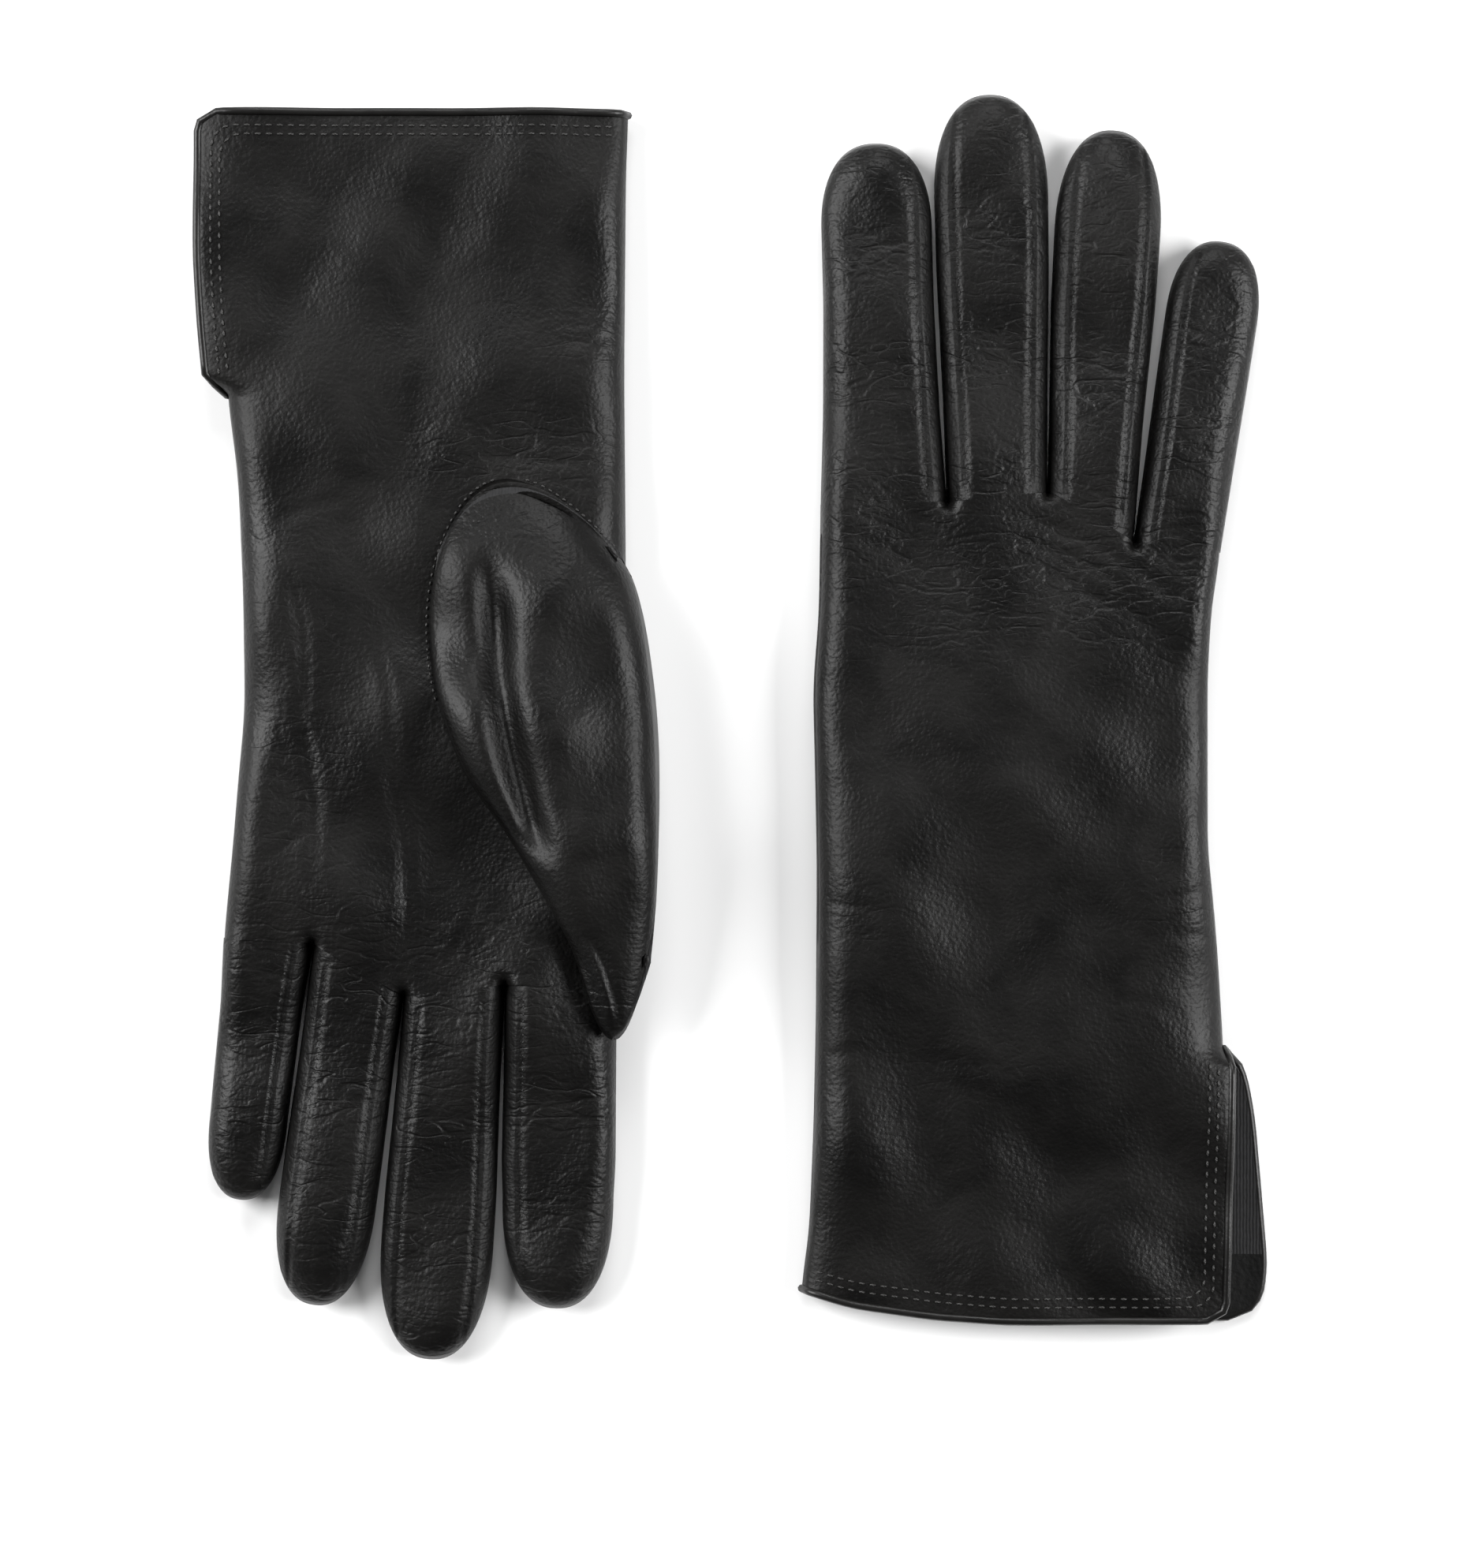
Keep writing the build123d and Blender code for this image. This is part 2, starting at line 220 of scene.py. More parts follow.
def groove(x, y, start, end, depth, width):
    """A crease from start to end with its leather pushed up beside it."""
    start, end = np.array(start, float), np.array(end, float)
    run = end - start
    length = np.linalg.norm(run)
    t = ((x - start[0]) * run[0] + (y - start[1]) * run[1]) / length ** 2
    bow = 0.06 * length * np.sin(np.clip(t, 0, 1) * math.pi)
    away = np.abs(((x - start[0]) * run[1] - (y - start[1]) * run[0]) / length + bow) / width
    fade = ease(t / 0.3) * ease((1 - t) / 0.3)
    return crease_strength * depth * fade * (0.55 * np.exp(-((away - 1.9) ** 2)) - np.exp(-away ** 2))


def patch(x, y, centre, size):
    """A soft round region of the layout, 1 in its middle and 0 outside."""
    return np.exp(-(((x - centre[0]) / size[0]) ** 2) - ((y - centre[1]) / size[1]) ** 2)


# Where the leather is crumpled most: centre, reach and how strongly
crumpled = {
    "left": [((-22, 78), (26, 9), 0.9), ((-40, 52), (12, 7), 0.6), ((28, 150), (14, 34), 0.45),
             ((0, 190), (50, 12), 0.6), ((40, 100), (16, 9), 0.4)],
    "right": [((10, 168), (46, 18), 1.0), ((-34, 186), (14, 10), 0.7), ((40, 98), (12, 10), 0.5),
              ((-34, 92), (12, 8), 0.4), ((-6, 58), (24, 7), 0.3)],
}


def hand_crumple(glove, x, y):
    return 0.05 + sum(strength * patch(x, y, centre, size) for centre, size, strength in crumpled[glove.name])


def finger_crumple(share):
    """Crumpled at the knuckle, at the two joints and a little at the tip."""
    return 0.3 + sum(strength * np.exp(-((share - at) / 0.09) ** 2)
                      for at, strength in ((0.05, 0.6), (0.36, 0.8), (0.67, 0.6), (0.97, 0.5)))


creases = {
    "left": [
        ((-42, 80), (-12, 77), 0.5, 1.1), ((-44, 87), (-28, 84), 0.4, 0.9), ((-4, 81), (-24, 79), 0.3, 0.9),
        ((-44, 51), (-28, 53), 0.5, 1.3), ((-43, 60), (-32, 57), 0.3, 1.0),
        ((33, 101), (29, 142), 0.7, 1.6), ((31, 132), (27, 180), 0.7, 1.5), ((14, 112), (9, 160), 0.4, 1.3),
        ((11, 146), (6, 196), 0.5, 1.4), ((24, 160), (40, 172), 0.4, 1.2), ((-12, 176), (-2, 197), 0.4, 1.2),
        ((38, 96), (16, 88), 0.4, 1.4), ((40, 150), (26, 156), 0.4, 1.2),
    ],
    "right": [
        ((-6, 186), (44, 160), 0.8, 1.7), ((-4, 180), (30, 165), 0.6, 1.4), ((2, 172), (40, 152), 0.4, 1.4),
        ((-33, 190), (-14, 178), 0.5, 1.3), ((-40, 181), (-20, 170), 0.4, 1.3),
        ((16, 178), (6, 150), 0.4, 1.3),
        ((-44, 96), (-26, 92), 0.4, 1.3), ((46, 100), (30, 96), 0.5, 1.3), ((47, 88), (34, 90), 0.4, 1.2),
        ((-44, 60), (-30, 62), 0.4, 1.4), ((-20, 60), (4, 55), 0.35, 1.8), ((20, 74), (40, 70), 0.35, 1.6),
    ],
}


def hand_point(glove, u, v, top):
    """The hand of the glove: u across from the thumb side, v from the hem to the finger roots."""
    count = len(glove.fingers)
    place = np.clip((u * count).astype(int), 0, count - 1)
    inside = u * count - place
    x_root = np.zeros_like(u)
    y_root = np.zeros_like(u)
    for number, part in enumerate(glove.fingers):
        mine = place == number
        half = float(part.half(0.0))
        s = across_finger(inside[mine], half)
        spot = part.middle + np.outer(s, (part.after - part.before) / 2)
        x_root[mine], y_root[mine] = spot[:, 0], spot[:, 1]
    first, last = glove.roots[0], glove.roots[-1]
    root_share = (x_root - first[0]) / (last[0] - first[0])
    x_guess = glove.thumb_edge(0) + (glove.side_edge(0) - glove.thumb_edge(0)) * u
    y_hem = glove.hem(x_guess)
    y = y_hem + (y_root - y_hem) * v
    vent_share = 1 - ease((y - (glove.vent - 4)) / 5)
    flap = glove.upper_flap if top else glove.lower_flap
    side = glove.side_edge(y) + (flap(y) - glove.side_edge(y)) * vent_share
    corner = 4.5 if glove.palm_up or top else 7.0
    from_hem = np.clip((y - y_hem) / corner, 0, 1)
    side = side - vent_share * corner * (1 - np.sqrt(1 - (1 - from_hem) ** 2))
    thumb_side = glove.thumb_edge(y)
    share = u + (root_share - u) * ease((v - 0.25) / 0.75)
    x = thumb_side + (side - thumb_side) * share
    radius = edge_roll + 3.0 * ease((1 - v) / 0.25)
    left_rise = roll(x - thumb_side, radius)
    right_rise = roll(side - x, radius)
    open_rise = 1 - 0.12 * (1 - right_rise)
    rise = left_rise * (right_rise + (open_rise - right_rise) * vent_share)
    for point in glove.roots[1:-1]:
        rise = rise * roll(np.hypot(x - point[0], y - point[1]), 3.6)
    return x, y, glove.thickness(y), rise


def finger_point(glove, part, u, v):
    """A finger: u across from the thumb side, v from its root to the tip."""
    turn_at = stall_rows / (stall_rows + cap_rows)
    run = np.clip(v / turn_at, 0, 1) * part.straight
    half = part.half(run)
    s = across_finger(u, half)
    w = np.clip((v - turn_at) / (1 - turn_at), 0, 1)
    over = w * np.sqrt(1 - s * s / 2)
    side = s * np.sqrt(1 - w * w / 2)
    safe = np.clip(over, 0, 0.9995)
    side = side * (1 - safe ** 2.3) ** (1 / 2.3) / np.sqrt(1 - safe ** 2)
    local_x = side * half
    local_y = run + over * part.cap + s * part.slant * (1 - ease(run / 26))
    x = part.middle[0] + part.across[0] * local_x + part.along[0] * local_y
    y = part.middle[1] + part.across[1] * local_x + part.along[1] * local_y
    reach = np.sqrt(np.clip(s * s + w * w - s * s * w * w, 0, 1))
    near = np.where(w > 0, half * (1 - reach), half * (1 - np.abs(s)))
    far = half * (1 + np.abs(s))
    rise = roll(near, edge_roll) * roll(far, edge_roll)
    crown = 1 - 0.14 * s * s * ease(run / 20)
    share = (run + over * part.cap) / part.length
    thickness = 13.4 - 1.4 * ease(share / 0.5) - 1.6 * ease((share - 0.5) / 0.5)
    return x, y, thickness, rise, crown, s, share


fold_width = 0.9
folds_at = (0.08, 3), (0.36, 5), (0.68, 3)     # share of the finger's length, and how many folds


def joint_folds(glove, part, local_along, local_across, top):
    """Short cross folds where the worn finger bends."""
    rng = np.random.default_rng(glove.seed * 10 + glove.fingers.index(part) + (0 if top else 5))
    total = np.zeros_like(local_along)
    for joint, count in folds_at:
        for _ in range(count):
            at = part.length * joint + rng.uniform(-5, 5)
            tilt = rng.uniform(-2.5, 2.5)
            start = rng.uniform(-1.0, -0.1) * part.halves[1]
            end = start + rng.uniform(0.6, 1.3) * part.halves[1]
            depth = rng.uniform(0.12, 0.32)
            total += groove(local_across, local_along, (start, at - tilt), (end, at + tilt), depth, fold_width)
    return total


def skin_height(glove, thickness, rise, crown, top, relief):
    """Level of the palm or back sheet over the table."""
    seam = thickness * edge_level
    if top:
        return seam + (thickness - seam) * rise * crown + relief * rise
    return seam * (1 - rise)


def finish_skin(glove, bm, verts, names, kinds, points, crumple):
    """Puts a fresh grid's vertices in place and notes which piece each face is cut from."""
    piece = bm.faces.layers.int["piece"]
    faces = {face for vert in verts for face in vert.link_faces}
    for face in faces:
        centre = face.calc_center_median()
        face[piece] = names.index(kinds(centre.x + 0.5))
    worn = bm.verts.layers.float["crumple"]
    for vert, point, amount in zip(verts, points, crumple):
        vert.co = point
        vert[worn] = min(amount, 1.0)
    return faces


thumb_bulge = 8.6          # how far the thumb beneath a palm lifts the palm's lower sheet


def thumb_room(glove, x, y, top):
    """How far the underside of a palm is lifted over the thumb folded beneath it."""
    if glove.palm_up or top:
        return np.zeros_like(x)
    along = ease((y - 76) / 12) * (1 - ease((y - 178) / 8))
    return thumb_bulge * along * (1 - ease((x + 4) / 10))


def make_skin(glove, coarser=1):
    """The whole glove skin as one welded surface, its faces marked piece by piece."""
    names = ["hand"]
    for part in glove.fingers:
        if part.name == "index":
            names.append("index_strip")
        else:
            names += [f"{part.name}_palm_strip", f"{part.name}_back_strip"]
        for side in fourchette_sides[part.name]:
            names.append(f"{part.name}_{'outer' if side > 0 else 'inner'}_fourchette")
    bm = bmesh.new()
    bm.faces.layers.int.new("piece")
    bm.verts.layers.float_vector.new("skin_normal")
    bm.verts.layers.float.new("crumple")
    for top in (True, False):
        grid = bmesh.ops.create_grid(bm, x_segments=4 * finger_columns // coarser,
                                     y_segments=hand_rows // coarser, size=0.5)["verts"]
        uv = np.array([vert.co[:2] for vert in grid]) + 0.5
        x, y, thickness, rise = hand_point(glove, uv[:, 0], uv[:, 1], top)
        relief = dents(glove, x, y, top)
        for crease in creases[glove.name]:
            relief += groove(x, y, *crease)
        z = skin_height(glove, thickness, rise, 1.0, top, relief) + thumb_room(glove, x, y, top) * rise
        faces = finish_skin(glove, bm, grid, names, lambda u: "hand", in_place(glove, x, y, z),
                            hand_crumple(glove, x, y))
        turn_faces(bm, faces, top)
        for part in glove.fingers:
            grid = bmesh.ops.create_grid(bm, x_segments=finger_columns // coarser,
                                         y_segments=(stall_rows + cap_rows) // coarser, size=0.5)["verts"]
            uv = np.array([vert.co[:2] for vert in grid]) + 0.5
            x, y, thickness, rise, crown, s, share = finger_point(glove, part, uv[:, 0], uv[:, 1])
            away = np.stack([x, y], axis=1) - part.middle
            local_along, local_across = away @ part.along, away @ part.across
            relief = dents(glove, x, y, top) + joint_folds(glove, part, local_along, local_across, top) \
                * ease(local_along / 8)
            column = np.rint(uv[:, 0] * finger_columns)
            for side in fourchette_sides[part.name]:
                seam_column = edge_columns if side < 0 else finger_columns - edge_columns
                relief = relief - np.where(column == seam_column, seam_depth, 0) * ease(share / 0.06)
            z = skin_height(glove, thickness, rise, crown, top, relief)

            def kind(u):
                edge = edge_columns / finger_columns
                side = -1 if u < edge else 1 if u > 1 - edge else 0
                if side in fourchette_sides[part.name]:
                    return f"{part.name}_{'outer' if side > 0 else 'inner'}_fourchette"
                if part.name == "index":
                    return "index_strip"
                return f"{part.name}_{'palm' if top == glove.palm_up else 'back'}_strip"

            faces = finish_skin(glove, bm, grid, names, kind, in_place(glove, x, y, z), finger_crumple(share))
            turn_faces(bm, faces, top)
    bmesh.ops.remove_doubles(bm, verts=bm.verts, dist=weld * mm)
    bm.normal_update()
    normal = bm.verts.layers.float_vector["skin_normal"]
    for vert in bm.verts:
        vert[normal] = vert.normal
    return bm, names


def turn_faces(bm, faces, top):
    """Makes every face of a sheet look outwards."""
    total = 0.0
    for face in faces:
        face.normal_update()
        total += face.normal.z
    if (total > 0) != top:
        bmesh.ops.reverse_faces(bm, faces=list(faces))


def cut_out(skin, names, wanted):
    """A copy of the skin that holds only the wanted pieces."""
    part = skin.copy()
    piece = part.faces.layers.int["piece"]
    keep = {names.index(name) for name in wanted}
    bmesh.ops.delete(part, geom=[face for face in part.faces if face[piece] not in keep], context="FACES")
    return part


def leather_piece(name, bm, thickness):
    """Gives a cut of skin its leather thickness and makes it an object with the skin's own shading."""
    bmesh.ops.solidify(bm, geom=bm.faces[:], thickness=thickness)
    mesh = bpy.data.meshes.new(name)
    bm.to_mesh(mesh)
    bm.free()
    mesh.shade_smooth()
    stored = np.zeros(len(mesh.vertices) * 3)
    mesh.attributes["skin_normal"].data.foreach_get("vector", stored)
    stored = stored.reshape(-1, 3)
    loops = np.zeros(len(mesh.loops), int)
    mesh.loops.foreach_get("vertex_index", loops)
    normals = np.zeros((len(mesh.loops), 3))
    flat = np.array([polygon.normal[:] for polygon in mesh.polygons])
    starts = np.array([polygon.loop_total for polygon in mesh.polygons])
    face_of = np.repeat(np.arange(len(flat)), starts)
    match = np.einsum("ij,ij->i", flat[face_of], stored[loops])
    normals[match > 0.5] = stored[loops][match > 0.5]
    normals[match < -0.5] = -stored[loops][match < -0.5]
    mesh.normals_split_custom_set(normals.tolist())
    mesh.attributes.remove(mesh.attributes["skin_normal"])
    piece = bpy.data.objects.new(name, mesh)
    bpy.context.scene.collection.objects.link(piece)
    return piece


def add_group_socket(tree, name, way, kind, value=None):
    socket = tree.interface.new_socket(name, in_out=way, socket_type=kind)
    if value is not None:
        socket.default_value = value


def math_node(nodes, links, operation, *values):
    """A Math node whose inputs are sockets or plain numbers."""
    node = nodes.new("ShaderNodeMath")
    node.operation = operation
    for socket, value in zip(node.inputs, values):
        if isinstance(value, bpy.types.NodeSocket):
            links.new(value, socket)
        else:
            socket.default_value = value
    return node.outputs[0]


def leather_surface():
    """Grain, mottle, swell, soft pull and fine creases of finished leather, as masks for any leather here."""
    tree = bpy.data.node_groups.new("leather_surface", "ShaderNodeTree")
    add_group_socket(tree, "Grain Size", "INPUT", "NodeSocketFloat", 1.0)
    for name in ("Grain", "Mottle", "Swell", "Pull", "Creases"):
        add_group_socket(tree, name, "OUTPUT", "NodeSocketFloat")
    nodes, links = tree.nodes, tree.links
    ends = nodes.new("NodeGroupInput"), nodes.new("NodeGroupOutput")
    place = nodes.new("ShaderNodeTexCoord")
    size = nodes.new("ShaderNodeVectorMath")
    size.operation = "SCALE"
    links.new(place.outputs["Object"], size.inputs[0])
    links.new(ends[0].outputs["Grain Size"], size.inputs["Scale"])

    def noise(scale, detail, roughness=0.5, distortion=0.0, source=size.outputs["Vector"]):
        texture = nodes.new("ShaderNodeTexNoise")
        texture.inputs["Scale"].default_value = scale
        texture.inputs["Detail"].default_value = detail
        texture.inputs["Roughness"].default_value = roughness
        texture.inputs["Distortion"].default_value = distortion
        links.new(source, texture.inputs["Vector"])
        return texture.outputs["Fac"]

    pebbles = nodes.new("ShaderNodeTexVoronoi")
    pebbles.feature = "SMOOTH_F1"
    pebbles.inputs["Scale"].default_value = 1150
    links.new(size.outputs["Vector"], pebbles.inputs["Vector"])
    pores = math_node(nodes, links, "MULTIPLY", noise(2300, 3), 0.5)
    links.new(math_node(nodes, links, "ADD", pebbles.outputs["Distance"], pores), ends[1].inputs["Grain"])
    links.new(noise(46, 5, 0.55, 0.4), ends[1].inputs["Mottle"])
    links.new(noise(38, 1.5, 0.5, 0.3), ends[1].inputs["Swell"])
    links.new(noise(170, 2.5, 0.5, 0.3), ends[1].inputs["Pull"])
    across = nodes.new("ShaderNodeMapping")
    across.inputs["Scale"].default_value = (1.0, 2.4, 1.0)
    across.inputs["Rotation"].default_value = (0, 0, 0.16)
    links.new(place.outputs["Object"], across.inputs["Vector"])
    lines = []
    for scale, width in ((80, 0.055), (190, 0.09)):
        wander = noise(scale, 1.5, 0.5, 0.3, across.outputs["Vector"])
        contour = math_node(nodes, links, "SUBTRACT", wander, 0.5)
        edge = nodes.new("ShaderNodeMapRange")
        edge.interpolation_type = "SMOOTHSTEP"
        edge.inputs["From Max"].default_value = width
        links.new(math_node(nodes, links, "ABSOLUTE", contour), edge.inputs["Value"])
        lines.append(edge.outputs["Result"])
    fine = math_node(nodes, links, "MULTIPLY_ADD", lines[1], 0.4, 0.6)
    links.new(math_node(nodes, links, "MULTIPLY", lines[0], fine), ends[1].inputs["Creases"])
    return tree


leather_surface_group = leather_surface()


def add_ramp(nodes, links, source, low, high, dark, light):
    """Spreads a mask between two colours."""
    ramp = nodes.new("ShaderNodeValToRGB")
    ramp.color_ramp.elements[0].position, ramp.color_ramp.elements[1].position = low, high
    ramp.color_ramp.elements[0].color = (*dark, 1)
    ramp.color_ramp.elements[1].color = (*light, 1)
    links.new(source, ramp.inputs["Fac"])
    return ramp.outputs["Color"]


def dressed_leather(name, dark, light, dull, satin, grain_size=1.0, grain_depth=0.12, crease_depth=0.17,
                    coat=0.02):
    """Dyed and finished leather. Its depths are in millimetres; creases follow the crumpled places."""
    material = bpy.data.materials.new(name)
    material.use_nodes = True
    nodes, links = material.node_tree.nodes, material.node_tree.links
    shader = nodes["Principled BSDF"]
    surface = nodes.new("ShaderNodeGroup")
    surface.node_tree = leather_surface_group
    surface.inputs["Grain Size"].default_value = grain_size
    links.new(add_ramp(nodes, links, surface.outputs["Mottle"], 0.36, 0.64, dark, light),
              shader.inputs["Base Color"])
    spread = nodes.new("ShaderNodeMapRange")
    spread.inputs["From Min"].default_value, spread.inputs["From Max"].default_value = 0.36, 0.64
    spread.inputs["To Min"].default_value, spread.inputs["To Max"].default_value = satin, dull
    links.new(surface.outputs["Mottle"], spread.inputs["Value"])
    links.new(spread.outputs["Result"], shader.inputs["Roughness"])
    worn = nodes.new("ShaderNodeAttribute")
    worn.attribute_name = "crumple"
    sunk = math_node(nodes, links, "SUBTRACT", surface.outputs["Creases"], 1.0)
    creased = math_node(nodes, links, "MULTIPLY", sunk, worn.outputs["Fac"])
    height = math_node(nodes, links, "MULTIPLY", creased, crease_depth)
    for mask, depth in (("Swell", 1.2), ("Pull", 0.2), ("Grain", grain_depth)):
        height = math_node(nodes, links, "ADD", height,
                           math_node(nodes, links, "MULTIPLY", surface.outputs[mask], depth))
    relief = nodes.new("ShaderNodeBump")
    relief.inputs["Distance"].default_value = mm
    links.new(height, relief.inputs["Height"])
    links.new(relief.outputs["Normal"], shader.inputs["Normal"])
    shader.inputs["Specular IOR Level"].default_value = 0.21
    shader.inputs["Coat Weight"].default_value = coat
    shader.inputs["Coat Roughness"].default_value = 0.4
    return material


glove_leather = dressed_leather("glove_leather", (0.0011, 0.0010, 0.0009), (0.0032, 0.0029, 0.0026),
                                0.49, 0.38)
fourchette_leather = dressed_leather("fourchette_leather", (0.0014, 0.0013, 0.0012), (0.0036, 0.0034, 0.0032),
                                     0.55, 0.44, grain_size=1.1, coat=0.02)


def joint_of(glove, what):
    """Where one of the glove's joints turns."""
    return Vector(next(j for j in frame["joints"] if j["name"] == f"{glove.name}_{what}")["pos_m"])


for glove in (left, right):
    glove.skin, glove.piece_names = make_skin(glove)
    glove.surface = BVHTree.FromBMesh(glove.skin)
    hand = leather_piece(f"leather_{glove.name}_hand", cut_out(glove.skin, glove.piece_names, ["hand"]),
                         leather_wall * mm)
    hand.data.materials.append(glove_leather)
    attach(hand, f"{glove.name}_hand")
    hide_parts(f"{glove.name}_hand_leather")
    for part in glove.fingers:
        mine = [name for name in glove.piece_names if name.startswith(part.name)]
        cut = cut_out(glove.skin, glove.piece_names, mine)
        pivot = joint_of(glove, f"{part.name}_bend")
        knuckle = (pivot.y - glove.hem_y) / (glove.turn * mm)
        root_end = max(part.before[1], part.after[1]) + 0.3
        levels = max(root_end, knuckle - 3.5), knuckle + 9.0
        part.bend = [Vector((pivot.x, glove.hem_y + glove.turn * level * mm, pivot.z)) for level in levels]
        for name in mine:
            piece = leather_piece(f"leather_{glove.name}_{name}", cut_out(cut, glove.piece_names, [name]),
                                  leather_wall * mm)
            side_strip = name.endswith("fourchette")
            piece.data.materials.append(fourchette_leather if side_strip else glove_leather)
            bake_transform(piece, f"{glove.name}_hand", f"{glove.name}_{part.name}", *part.bend)
            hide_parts(f"{glove.name}_{name}")
        cut.free()

# ------------------------------------------------------------------- thumbs
# The thumb is cut as one leaf of leather, folded along its outer side and sewn
# into a round hole in the palm. The left one lies folded across the palm, and
# the right one is tucked flat beneath its palm. Free of the seam it can swing.
left.thumb = SimpleNamespace(
    start=84.0, end=212.0,
    centre=smooth_line([(84, -18), (96, -21.4), (104, -23.5), (116, -24.3), (127, -25.5), (137.5, -27.3),
                        (152, -30.3), (166, -35.4), (182.5, -39.8), (191.5, -41.8), (212, -42.0)], 8),
    half=smooth_line([(84, 27), (96, 29), (104, 30), (116, 28.3), (137.5, 24.8), (152, 22.1), (166, 17.6),
                      (182.5, 14.1), (191.5, 11.9), (212, 10.3)], 8),
    outer_level=smooth_line([(84, 14), (95, 14), (104, 9.5), (150, 9.5), (166, 16), (212, 16.5)], 8),
    lift=smooth_line([(84, 0.1), (148, 0.1), (166, 2.6), (212, 3.2)], 8),
    plateau=smooth_line([(84, 16), (96, 19.5), (112, 22.5), (140, 24.6), (170, 24.6), (200, 23.2),
                         (212, 22)], 10),
    folds=[((-37, 132), (-24, 142), 0.4, 1.8), ((-46, 168), (-32, 172), 0.4, 1.4),
           ((-34.2, 187), (-42.3, 212), -1.9, 1.0), ((-31.8, 189), (-39.8, 212), 1.2, 0.8)],
    valley=smooth_line([(96, -13.0), (104, -13.8), (113, -15.1), (129, -16.0), (146.7, -19.2), (160, -22.6),
                        (172, -26.5)], 6),
)
right.thumb = SimpleNamespace(
    start=86.0, end=184.0,
    centre=smooth_line([(84, -22), (110, -23), (140, -25.5), (184, -29.5)], 10),
    half=smooth_line([(84, 20), (110, 20.5), (140, 17.5), (165, 13), (184, 10)], 10),
    folds=[((-24, 100), (-26, 140), 0.6, 2.5)], valley=None,
)


thumb_columns, thumb_rows = 48, 104
over_glove = 80.0          # a level that is clear of the gloves
thumb_roll = 8.0           # how far in from its edge the thumb's leather has rolled flat


def level_at(glove, x, y, fallback):
    """Level of the glove's upper surface at a place in its layout, in millimetres."""
    found = []
    for point, spare in zip(in_place(glove, x, y, np.full_like(x, over_glove)), fallback):
        hit = glove.surface.ray_cast(Vector(point), Vector((0, 0, -1)))[0]
        found.append(hit.z / mm if hit else spare)
    return np.array(found)


def thumb_valley(line, x, y):
    """The leather sinks in a long fold, low on the palm's side and swelling over the thumb's tube."""
    away = x - line(y)
    fade = ease((y - 98) / 20) * (1 - ease((y - 162) / 12))
    sunk = -4.6 * np.exp(-(away / 3.4) ** 2)
    tube = 1.2 * np.exp(-((away + 11.0) / 8.0) ** 2)
    gusset = -1.4 * ease(away / 14.0)
    return fade * (sunk + tube + gusset)


def thumb_skin(glove, coarser=1):
    """The thumb's leaf as a closed pillow, with no poles at its ends."""
    shape = glove.thumb
    middle, reach = (shape.start + shape.end) / 2, (shape.end - shape.start) / 2
    bm = bmesh.new()
    bm.verts.layers.float_vector.new("skin_normal")
    worn = bm.verts.layers.float.new("crumple")
    for top in (True, False):
        grid = bmesh.ops.create_grid(bm, x_segments=thumb_columns // coarser,
                                     y_segments=thumb_rows // coarser, size=1.0)["verts"]
        s, w = np.array([vert.co[:2] for vert in grid]).T
        along, aside = w * np.sqrt(1 - s * s / 2), s * np.sqrt(1 - w * w / 2)
        y = middle + reach * along
        half = shape.half(y)
        x = shape.centre(y) + half * aside
        out = np.sqrt(np.clip(s * s + w * w - s * s * w * w, 0, 1))
        rise = roll(half * (1 - out), thumb_roll)
        relief = dents(glove, x, y, top) * 1.2
        for fold in shape.folds:
            relief += groove(x, y, *fold)
        if shape.valley and top:
            relief += thumb_valley(shape.valley, x, y)
        along_share = (y - shape.start) / (shape.end - shape.start)
        crumple = 0.06 + 0.4 * np.exp(-((along_share - 0.95) / 0.1) ** 2) \
            + 0.3 * np.exp(-((along_share - 0.05) / 0.08) ** 2)
        if glove.palm_up:
            seam_x = shape.centre(y) + half * np.sqrt(np.clip(1 - along ** 2, 0, 1)) * 0.97
            inner = level_at(glove, seam_x, y, np.full_like(x, 12.0)) + shape.lift(y)
            share = ease((s + 1) / 2)
            seam = shape.outer_level(y) * (1 - share) + inner * share
            under = np.minimum(level_at(glove, x, y, seam) + 0.5, seam + 1.5)
            z = seam + (shape.plateau(y) - seam + relief) * rise if top else seam + (under - seam) * rise
        else:
            z = 3.6 + (3.7 + 0.3 * relief) * rise if top else 3.6 * (1 - rise)
        faces = {face for vert in grid for face in vert.link_faces}
        for vert, point, amount in zip(grid, in_place(glove, x, y, z), crumple):
            vert.co = point
            vert[worn] = min(amount, 1.0)
        turn_faces(bm, faces, top)
    bmesh.ops.remove_doubles(bm, verts=bm.verts, dist=weld * mm)
    bm.normal_update()
    normal = bm.verts.layers.float_vector["skin_normal"]
    for vert in bm.verts:
        vert[normal] = vert.normal
    return bm


def swing_line(glove):
    """Where the thumb's leather starts and stops turning with the thumb."""
    pivot = joint_of(glove, "thumb_swing")
    tip_x = float(glove.thumb.centre(glove.thumb.end))
    tip = Vector((glove.middle_x + glove.turn * tip_x * mm, glove.hem_y + glove.turn * glove.thumb.end * mm,
                  pivot.z))
    along = (tip - pivot).normalized()
    return pivot - along * 11 * mm, pivot + along * 14 * mm


for glove in (left, right):
    leaf = thumb_skin(glove)
    thumb = leather_piece(f"leather_{glove.name}_thumb", leaf, leather_wall * mm)
    thumb.data.materials.append(glove_leather)
    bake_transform(thumb, f"{glove.name}_hand", f"{glove.name}_thumb", *swing_line(glove))
    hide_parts(f"{glove.name}_thumb_base", f"{glove.name}_thumb_stall")

# ------------------------------------------------------------------ linings
# A fine black knit lines the hand, the fingers and the thumb. It is sewn to the
# leather at the tips and meets the leather facing inside the cuff, which is a
# band turned in and stitched down to stop the hem stretching.
lining_away = 1.05
lining_wall = 0.4
facing_width = 14.0


